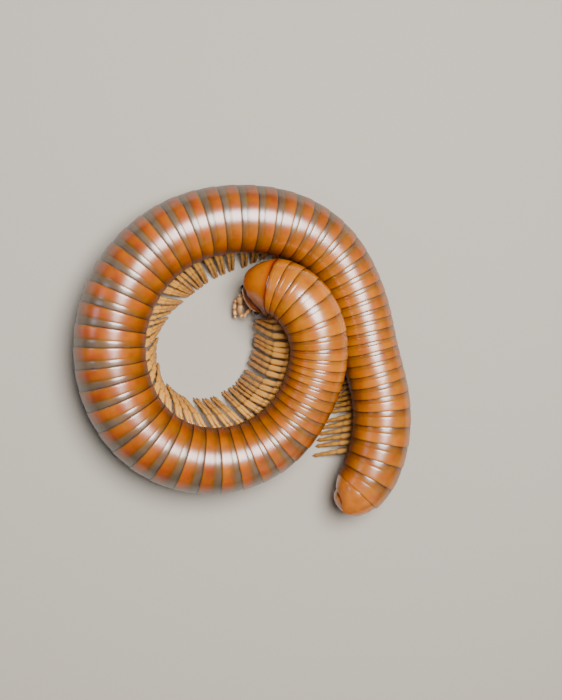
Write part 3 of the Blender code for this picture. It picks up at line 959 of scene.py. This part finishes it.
def model_shield():
    """The shield, straight, its front edge at X = 0."""
    length = line_length(SHIELD_LENGTH)
    stations = []
    for share in SHIELD_SHARES:
        swell = SHIELD_FRONT_WIDTH + (1 - SHIELD_FRONT_WIDTH) * share ** SHIELD_ROUNDNESS
        stations.append((length * share, PLAIN_RADIUS * swell))
    shield = turned_profile("shield_plate", RING_SIDES, stations, ends='OPEN')

    def on_lobe(point, side):
        """Whether a point lies on the middle line of the lobe of one side."""
        turn = math.degrees(math.atan2(side * point.co.y, point.co.z))
        share = point.co.x / (length * MM)
        in_middle = SHIELD_LOBE_FRONT < share < SHIELD_LOBE_REAR
        return in_middle and abs(turn - SHIELD_LOBE_ANGLE) < 180 / RING_SIDES

    # The two side lobes flare, the inner one more, because the head is turned that way.
    for side, flare in ((-1, SHIELD_INNER_FLARE), (1, SHIELD_OUTER_FLARE)):
        edit_with(shield, lambda point: on_lobe(point, side))
        bpy.ops.transform.resize(
            value=(1, 1 + flare, 1 + flare),
            center_override=(0, 0, 0),
            use_proportional_edit=True,
            use_proportional_connected=True,
            proportional_edit_falloff='SMOOTH',
            proportional_size=SHIELD_LOBE_REACH * MM,
        )
    lean = math.radians(SHIELD_CUT_LEAN)
    cut_away(
        shield, (line_length(SHIELD_CUT_ALONG) * MM, 0, 0), (-math.cos(lean), 0, -math.sin(lean))
    )
    cut_away(shield, (0, 0, -SHIELD_LOBE_LEVEL * PLAIN_RADIUS * MM), SHIELD_BELLY_CUT)
    wall = shield.modifiers.new("wall", 'SOLIDIFY')
    wall.thickness = SHIELD_WALL * MM
    wall.offset = -1
    round_rim(shield, SHIELD_RIM)
    apply_modifiers(shield)
    mark_places(shield, length)
    bend_along(shield, body_line)
    smooth(shield, 50)
    return shield


shield_plate = model_shield()
print("faces in the shield:", len(shield_plate.data.polygons))

# %% [markdown]
# The neck
# Between the head and the first ring is soft folded skin. It only shows as a dark shape
# below the shield, so it is a short turned tube with three folds.

# %% Model the neck
NECK_STATIONS = (
    (1.6, 2.6), (2.2, 3.4), (2.6, 3.3), (3.1, 3.9), (3.5, 3.8), (4.0, 4.3), (4.4, 4.2),
    (5.0, 4.7), (6.2, 4.9),
)
neck_skin = turned_profile("neck_skin", 40, NECK_STATIONS)
mark_places(neck_skin, SHIELD_LENGTH)
bend_along(neck_skin, body_line)
smooth(neck_skin, 70)
print("faces in the neck:", len(neck_skin.data.polygons))

# %% [markdown]
# The head
# The head hangs face down under the shield. Its own frame has X across it, Y out through the
# face and Z up to the crown. A circle is extruded from the crown down to the lip, row by
# row, and rounded with a Subdivision Surface.

# %% Model the head
HEAD_ALONG = 2.6
HEAD_DROP = 2.3
HEAD_OFFSET = 1.25
HEAD_NOD = 32
HEAD_TURN = 27
# Each row is a height on the head, then half its width and half its thickness there.
HEAD_ROWS = (
    (2.2, 1.5, 0.7), (1.8, 2.5, 1.4), (0.7, 3.3, 1.9), (-0.8, 3.5, 2.0), (-2.2, 3.0, 1.7),
    (-3.3, 2.3, 1.2), (-3.8, 1.9, 0.9),
)
HEAD_SIDES = 32
HEAD_DEPTH = 2.0
CROWN_RISE = 0.1
CROWN_SHARE = 0.6
CROWN_INSET = 0.3
LIP_INSETS = (0.35, 0.25)
# How far points lie along the head, for its colours: from the lip up.
LIP_LEVEL = -3.8
HEAD_HEIGHT = 6.0


def head_matrix():
    """The frame of the head in the room: across, out through the face, up the head."""
    centre, back, side, up = body_frame(HEAD_ALONG)
    turned_back = Matrix.Rotation(math.radians(HEAD_TURN), 3, up) @ back
    turned_side = up.cross(turned_back)
    nod = math.radians(HEAD_NOD)
    forward = -turned_back * math.cos(nod) - up * math.sin(nod)
    upward = up * math.cos(nod) - turned_back * math.sin(nod)
    matrix = Matrix((turned_side, forward, upward)).transposed().to_4x4()
    matrix.translation = (centre - up * HEAD_DROP - side * HEAD_OFFSET) * MM
    return matrix

head_place = head_matrix()


def put_on_head(piece):
    """Move a piece made in the frame of the head to its place in the room."""
    piece.matrix_world = head_place @ piece.matrix_world
    settle(piece)
    smooth(piece, 60)


def model_head():
    """The head capsule in its own frame."""
    start_fresh()
    height, half_width, half_depth = HEAD_ROWS[0]
    bpy.ops.mesh.primitive_circle_add(
        vertices=HEAD_SIDES, radius=MM, location=(0, HEAD_DEPTH * MM, height * MM)
    )
    head = bpy.context.object
    head.name = "head_capsule"
    head.scale = (half_width, half_depth, 1)
    settle(head)
    edit_with(head)
    extrude_to((0, 0, CROWN_RISE), (CROWN_SHARE, CROWN_SHARE, 1), (0, HEAD_DEPTH, height))
    bpy.ops.mesh.edge_face_add()
    bpy.ops.mesh.inset(thickness=CROWN_INSET * MM)
    select_open_edges()
    for next_height, next_width, next_depth in HEAD_ROWS[1:]:
        extrude_to(
            (0, 0, next_height - height),
            (next_width / half_width, next_depth / half_depth, 1),
            (0, HEAD_DEPTH, next_height),
        )
        height, half_width, half_depth = next_height, next_width, next_depth
    bpy.ops.mesh.edge_face_add()
    for inset in LIP_INSETS:
        bpy.ops.mesh.inset(thickness=inset * MM)
    face_outwards()
    rounding = head.modifiers.new("rounding", 'SUBSURF')
    rounding.levels = 2
    rounding.render_levels = 2
    apply_modifiers(head)
    return head


head_capsule = model_head()
print("faces in the head:", len(head_capsule.data.polygons))

# %% [markdown]
# The face
# The face is pressed into the capsule with soft pulls, as with a thumb in clay. A pull moves
# one point, and proportional editing draws what lies round it along, less and less with the
# distance. So there is a notch in the lip with a swelling on each side, a socket with a
# raised rim for each feeler, a low brow, a broad plate above the lip and a seam down the
# crown.

# %% Pull the face into shape
# Each pull is a place, a move, how far it reaches and how it fades, in mm.
LIP_NOTCH = ((0, 2.6, -3.85), (0, 0, 0.55), 0.9, 'SMOOTH')
# These are made on both sides: a swelling of the lip, a feeler socket and the socket's rim.
FEELER_SOCKET = (1.3, 3.6, 0.2)
PAIRED_PULLS = (
    ((1.2, 2.8, -3.8), (0, 0.15, -0.1), 0.8, 'SMOOTH'),
    ((1.3, 3.9, 0.2), (0, -0.55, 0), 0.85, 'SPHERE'),
    ((2.05, 3.6, 0.7), (0, 0.18, 0), 0.5, 'SMOOTH'),
)
BROW = ((0, 4.0, -0.6), (0, 0.22, 0), 1.2, 'SMOOTH')
LIP_PLATE = ((0, 3.6, -2.4), (0, 0.25, 0), 1.5, 'SMOOTH')
CROWN_SEAM = [
    ((0, 4.2, height), (0, -0.07, -0.03), 0.25, 'SMOOTH') for height in (1.9, 1.6, 1.3, 1.0, 0.7)
]


def pull_softly(piece, place, move, reach, fading):
    """Pull the point of a mesh nearest to a place, and softly what lies round it, in mm."""
    target = Vector(place) * MM
    nearest = min(piece.data.vertices, key=lambda point: (point.co - target).length).index
    edit_with(piece, lambda point: point.index == nearest)
    bpy.ops.transform.translate(
        value=Vector(move) * MM,
        use_proportional_edit=True,
        proportional_edit_falloff=fading,
        proportional_size=reach * MM,
    )
    start_fresh()


pull_softly(head_capsule, *LIP_NOTCH)
for side in (-1, 1):
    for (across, depth, height), *pull in PAIRED_PULLS:
        pull_softly(head_capsule, (side * across, depth, height), *pull)
for pull in (BROW, LIP_PLATE, *CROWN_SEAM):
    pull_softly(head_capsule, *pull)
mark_places(head_capsule, HEAD_HEIGHT, start=LIP_LEVEL, axis=2)
put_on_head(head_capsule)
print("soft pulls:", 3 + 2 * len(PAIRED_PULLS) + len(CROWN_SEAM))

# %% [markdown]
# Cheeks and chin
# The jaws close from the sides under two bulging cheek plates, each with a seam across it,
# and the mouth is shut from below by a flat chin plate with seams along it.

# %% Model the cheeks and the chin
# Places and radii are across, out through the face and up.
CHEEK_PLACE = (2.85, 2.1, -1.3)
CHEEK_RADII = (1.0, 1.2, 1.5)
CHEEK_SEAM = (0.35, 0.65)
CHEEK_PINCH = 0.93
CHIN_PLACE = (0.0, 0.12, -2.2)
CHIN_RADII = (1.6, 0.5, 1.6)
CHIN_SEAMS = (-0.55, 0.0, 0.55)
CHIN_SEAM_HEIGHTS = (-3.6, -3.1, -2.6, -2.1, -1.6, -1.2)
CHIN_SEAM_FRONT = -0.4
CHIN_SEAM_PULL = ((0, 0.06, 0), 0.2, 'SMOOTH')


def model_ball(name, place, radii, segments=32, rings=20):
    """A ball about a place, stretched to three radii, all in mm."""
    start_fresh()
    bpy.ops.mesh.primitive_uv_sphere_add(
        segments=segments, ring_count=rings, radius=MM, location=Vector(place) * MM
    )
    ball = bpy.context.object
    ball.name = name
    ball.scale = radii
    settle(ball)
    return ball


cheeks = {}
for mirror, side_name in ((1, "right"), (-1, "left")):
    across, out, up = CHEEK_PLACE
    middle = Vector((across * mirror, out, up))
    cheek = model_ball("cheek_plate_" + side_name, middle, CHEEK_RADII)
    low, high = (up + height for height in CHEEK_SEAM)
    edit_with(cheek, lambda point: low < point.co.z / MM < high)
    bpy.ops.transform.resize(value=(CHEEK_PINCH, CHEEK_PINCH, 1), center_override=middle * MM)
    cheeks[side_name] = cheek

chin_plate = model_ball("chin_plate", CHIN_PLACE, CHIN_RADII)
for across in CHIN_SEAMS:
    for height in CHIN_SEAM_HEIGHTS:
        pull_softly(chin_plate, (across, CHIN_SEAM_FRONT, height), *CHIN_SEAM_PULL)

for piece in (chin_plate, *cheeks.values()):
    mark_places(piece, HEAD_HEIGHT, start=LIP_LEVEL, axis=2)
    put_on_head(piece)
    print("faces in", piece.name, len(piece.data.polygons))

# %% [markdown]
# The eyes
# A millipede's eye is a patch of small separate lenses in rows. One lens is a small dome,
# copied over a dark oval patch.

# %% Model the eyes
EYE_PLACE = (2.52, 2.85, 0.85)
EYE_RADII = (0.7, 0.55, 0.55)
EYE_FACING = 22
LENS_RADIUS = 0.095
LENS_ROWS = (4, 5, 6, 7, 6, 5, 4)
LENS_STEP = 15


def model_eye(mirror, side_name):
    """One eye patch with its lenses."""
    across, out, up = EYE_PLACE
    middle = Vector((across * mirror, out, up))
    patch = model_ball("eye_patch_" + side_name, middle, EYE_RADII, 24, 14)
    things = [patch]
    for row, count in enumerate(LENS_ROWS):
        rise = math.radians(LENS_STEP * (row - (len(LENS_ROWS) - 1) / 2))
        for number in range(count):
            turn = math.radians(LENS_STEP * (number - (count - 1) / 2) + EYE_FACING)
            ray = (
                mirror * math.cos(rise) * math.cos(turn),
                math.cos(rise) * math.sin(turn),
                math.sin(rise),
            )
            spot = middle + Vector([x * radius for x, radius in zip(ray, EYE_RADII)])
            bpy.ops.mesh.primitive_ico_sphere_add(
                subdivisions=2, radius=LENS_RADIUS * MM, location=spot * MM
            )
            settle(bpy.context.object)
            things.append(bpy.context.object)
    eye = joined(things, "eye_patch_" + side_name)
    put_on_head(eye)
    return eye


eyes = {name: model_eye(mirror, name) for mirror, name in ((1, "right"), (-1, "left"))}
print("lenses in an eye:", sum(LENS_ROWS))

# %% [markdown]
# The feelers
# Each feeler is a chain of short clubs, narrow where they start and thick where they end,
# and the last carries four tiny sense cones. One club is turned once; each joint and each
# cone is a copy, stretched to its own length and thickness and turned its own way.

# %% Model the feelers
# Each joint is its length and thickness in mm, then its bearing and its slope in degrees.
LEFT_FEELER = (
    (0.8, 0.66, 226, -45), (1.1, 0.74, 230, -32), (1.0, 0.80, 234, -18), (0.75, 0.86, 155, 0),
    (1.9, 0.94, 90, 6), (1.6, 0.96, 96, 10), (0.5, 0.62, 96, 10),
)
RIGHT_FEELER = (
    (0.8, 0.66, 200, -75), (1.2, 0.72, 205, -58), (0.9, 0.76, 212, -18), (0.7, 0.80, 232, -6),
    (1.3, 0.84, 266, 0), (1.2, 0.84, 275, 0), (0.5, 0.56, 275, 0),
)
CLUB_PROFILE = (
    (-0.06, 0.30), (0.0, 0.52), (0.06, 0.64), (0.18, 0.76), (0.40, 0.90), (0.66, 1.0),
    (0.84, 1.0), (0.94, 0.90), (1.0, 0.66), (1.02, 0.40),
)
CONES = 4
CONE_SIZE = (0.16, 0.06, 0.06)
CONE_SPREAD = 0.13
plain_club = turned_profile("club", 20, CLUB_PROFILE)
mark_places(plain_club, 1.0)


def place_club(start, ahead, size):
    """A copy of the club, laid from a place in a direction."""
    club = copy_of(plain_club, "club_copy")
    club.scale = size
    club.rotation_euler = ahead.to_track_quat('X', 'Z').to_euler()
    club.location = start * MM
    settle(club)
    return club


def lay_feeler(start, joints, name):
    """A feeler from its socket, joint by joint, with its cones."""
    clubs = []
    for length, width, bearing, slope in joints:
        turn, tilt = math.radians(bearing), math.radians(slope)
        ahead = Vector((
            math.cos(turn) * math.cos(tilt), math.sin(turn) * math.cos(tilt), math.sin(tilt)
        ))
        clubs.append(place_club(start, ahead, (length, width / 2, width / 2)))
        start = start + ahead * length
    sideways = ahead.cross(Vector((0, 0, 1))).normalized()
    for number in range(CONES):
        turn = math.tau * (number + 0.5) / CONES
        offset = sideways * math.cos(turn) + ahead.cross(sideways) * math.sin(turn)
        clubs.append(place_club(start + offset * CONE_SPREAD, ahead, CONE_SIZE))
    feeler = joined(clubs, name)
    smooth(feeler, 60)
    return feeler


feelers = {}
for mirror, side_name, joints in ((1, "right", RIGHT_FEELER), (-1, "left", LEFT_FEELER)):
    across, depth, height = FEELER_SOCKET
    start = head_place @ (Vector((across * mirror, depth, height)) * MM) / MM
    feelers[side_name] = lay_feeler(start, joints, "feeler_joints_" + side_name)
    print("faces in a feeler:", len(feelers[side_name].data.polygons))
bpy.data.objects.remove(plain_club)

# %% [markdown]
# The tail
# The last ring ends in a blunt point over two valves that close like double doors. The ring
# is turned like the others, its rear edge is slanted back at the top, and the point is drawn
# out of it. Each valve is half a ball with a raised rim where the two meet.

# %% Model the tail
TAIL_CAP_LENGTH = 3.0
TAIL_SLANT = 0.7
TAIL_POINT = 1.0
TAIL_POINT_WIDTH = 10
TAIL_POINT_MOST = 1.2
TAIL_CAP_SHRINK = 0.80
VALVE_BULGE = 1.9
VALVE_SHARE = 0.80
VALVE_DROP = 0.25
VALVE_GAP = 0.08
VALVE_RIM = 0.15
TAIL_SHARES = (
    (-0.12, 0.93), (0.0, 0.962), (0.25, 0.955), (0.5, 0.925), (0.75, 0.875), (0.92, 0.825),
    (1.0, 0.80), (1.01, 0.76), (0.97, 0.72), (0.6, 0.72), (-0.12, 0.84),
)


def model_tail_ring():
    """The last ring with its point."""
    start = line_length(ring_edges[-1])
    length = line_length(ring_edges[-1] + TAIL_CAP_LENGTH) - start
    stations = [(share * length, radius * PLAIN_RADIUS) for share, radius in TAIL_SHARES]
    tail = turned_profile("tail_ring", RING_SIDES, stations, ends='BRIDGED')
    mark_places(tail, length)
    # Slant the rear edge: the further back and the higher, the more it moves.
    for vertex in tail.data.vertices:
        share = max(vertex.co.x / MM / length, 0.0)
        height = vertex.co.z / MM / (PLAIN_RADIUS * TAIL_CAP_SHRINK)
        point = min(max(height, 0.0) ** TAIL_POINT_WIDTH, TAIL_POINT_MOST)
        vertex.co.x += share * (TAIL_SLANT * height + TAIL_POINT * point) * MM
    tail.location.x = start * MM
    settle(tail)
    bend_along(tail, body_line)
    smooth(tail, 50)
    return tail


def model_valve(side, side_name):
    """One valve, bulging backwards, its straight rim in the middle."""
    end = ring_edges[-1] + TAIL_CAP_LENGTH
    centre, back, outward, up = body_frame(end)
    radius = eased(WIDTHS, end) / 2 * TAIL_CAP_SHRINK * VALVE_SHARE
    name = "tail_valve_plate_" + side_name
    valve = model_ball(name, (0, 0, 0), (VALVE_BULGE, radius, radius), 48, 24)
    cut_away(valve, (0, side * VALVE_GAP * MM, 0), (0, -side, 0))
    edit_with(valve)
    select_open_edges()
    bpy.ops.mesh.edge_face_add()
    start_fresh()
    round_rim(valve, VALVE_RIM)
    apply_modifiers(valve)
    mark_places(valve, radius)
    matrix = Matrix((back, outward, up)).transposed().to_4x4()
    matrix.translation = (centre - up * VALVE_DROP) * MM
    valve.matrix_world = matrix
    settle(valve)
    smooth(valve, 60)
    return valve


tail_ring = model_tail_ring()
valves = {name: model_valve(side, name) for side, name in ((1, "right"), (-1, "left"))}
print("faces in the tail ring:", len(tail_ring.data.polygons))

# %% [markdown]
# The finish of the head and the tail
# The same waxed chitin as the rings, but with no grey: orange on the tail, chestnut to brown
# on the head, and paler satin on the feelers. One function serves them all, with its colours
# from the front of a piece to its rear. The neck is soft skin, which is dull.


# %% Plain cuticle finish
def plain_cuticle(name, front, middle, rear, roughness=0.24):
    """Waxed cuticle that changes colour from front to rear, clouded 1.4 mm across."""
    material, shader, add, place, position = new_cuticle(name)
    cloud = add('TexNoise', {"Vector": position, "Scale": spots(1.4286), "Detail": 5})
    stops = ((0.0, front), (0.45, middle), (1.0, rear))
    colour = add('ValToRGB', (wandering(add, place[0], cloud, 0.3),), stops=stops)
    tone = add('MapRange', (cloud, 0.3, 0.7, 0.85, 1.12))
    pores = add('TexNoise', {"Vector": position, "Scale": spots(0.2), "Detail": 2})
    relief = {"Height": pores, "Strength": 0.15, "Distance": 0.03 * MM}
    set_inputs(shader, {
        "Base Color": add('HueSaturation', {"Color": colour, "Value": tone}),
        "Normal": add('Bump', relief),
        "Roughness": roughness,
        "IOR": 1.56,
        "Coat Weight": 0.5,
        "Coat Roughness": 0.1,
    })
    return material


head_cuticle = plain_cuticle("waxed_chitin_head", "8A5228", "7A3C14", "8A4418")
cheek_cuticle = plain_cuticle("waxed_chitin_cheeks", "6A381C", "5A2C16", "6A3418", 0.3)
tail_cuticle = plain_cuticle("waxed_chitin_tail", "B8661C", "C06C1E", "A5581A")
neck_membrane = plain_cuticle("folded_soft_skin", "4A2A1C", "6A4430", "6A4430", 0.55)
feeler_cuticle = plain_cuticle("satin_chitin_feelers", "9A5C2C", "DCA05C", "ECB87C", 0.36)
print("finishes so far:", len(bpy.data.materials))

# %% [markdown]
# The finish of the shield
# The shield is the brightest plate of the animal, clear orange with a dark red seam at its
# rear edge. Its side lobes are dark, and ridges run along them, with painted shade in their
# grooves and painted light on their crests. The two are mixed by how low a point lies.

# %% Shield finish
SHIELD_STOPS = (
    (0.00, "9A5238"), (0.08, "9C4C14"), (0.28, "BC6000"), (0.55, "D87A00"), (0.85, "D07000"),
    (0.95, "B85400"), (0.985, "7A1C04"), (1.0, "5A1404"),
)
# Painted shade for the grooves and painted light for the crests of the ridges.
RIDGE_SHADE_AND_LIGHT = (hex_colour("4E1E0C"), hex_colour("A8582C"))
RIDGES_ROUND = 46  # Ridges round the whole shield, about 0.8 mm apart.


def shield_finish():
    """Waxed orange cuticle with a dark red seam; its side lobes dark and ridged, with painted
    shade and light.
    """
    material, shader, add, (share, up, out), position = new_cuticle("waxed_chitin_shield")
    cloud = add('TexNoise', {"Vector": position, "Scale": spots(2.0), "Detail": 4})
    bands = add('ValToRGB', (wandering(add, share, cloud, 0.06),), stops=SHIELD_STOPS)
    wave = lines_round(add, up, out, RIDGES_ROUND)
    ridge = add('MapRange', (wave, -1.0))
    groove_shade, crest_light = RIDGE_SHADE_AND_LIGHT
    shaded_ridges = add('Mix', {0: ridge, 6: groove_shade, 7: crest_light}, 2, data_type='RGBA')
    lobe = add('MapRange', (up, 0.6, 0.0), interpolation_type='SMOOTHSTEP')
    colour = add('Mix', {0: lobe, 6: bands, 7: shaded_ridges}, 2, data_type='RGBA')
    tone = add('MapRange', (cloud, 0.3, 0.7, 0.88, 1.1))
    height = add('Math', (wave, lobe), operation='MULTIPLY')
    relief = {"Height": height, "Strength": 0.5, "Distance": 0.05 * MM}
    set_inputs(shader, {
        "Base Color": add('HueSaturation', {"Color": colour, "Value": tone}),
        "Normal": add('Bump', relief),
        "Coat Weight": add('MapRange', (up, 0.5, 0.98)),
        "Roughness": 0.36,
        "Coat Roughness": 0.13,
        "Specular IOR Level": 0.12,
    })
    return material


shield_cuticle = shield_finish()
print("shield colours:", len(SHIELD_STOPS))

# %% [markdown]
# The finish of the eyes
# The lenses are clear cuticle over black pigment, so they are near black, with a wet shine.

# %% Eye finish
eye_lens, shader, add = new_finish("glossy_eye_lens")
set_inputs(shader, {
    "Base Color": hex_colour("120D0B"), "Roughness": 0.08, "Coat Weight": 1.0
})
print("finishes:", len(bpy.data.materials))

# %% [markdown]
# Putting it all together
# Every piece is given its finish, the body that carries it and the nodes of the solid model
# that it stands for. The neck skin stands for none of them.

# %% Hold every piece
hold(shield_plate, shield_cuticle, "neck_shell", "neck_shield")
hold(neck_skin, neck_membrane, "head_shell")
hold(head_capsule, head_cuticle, "head_shell", "head")
hold(chin_plate, cheek_cuticle, "head_shell", "chin")
hold(tail_ring, tail_cuticle, "tail_shell", "tail_cap")
for side_name in ("left", "right"):
    hold(cheeks[side_name], cheek_cuticle, "head_shell", "cheek_" + side_name)
    hold(eyes[side_name], eye_lens, "eye", "eye_" + side_name)
    hold(feelers[side_name], feeler_cuticle, "limb", "feeler_" + side_name)
    hold(valves[side_name], tail_cuticle, "tail_shell", "tail_valve_" + side_name)
bpy.data.objects.remove(body_line)
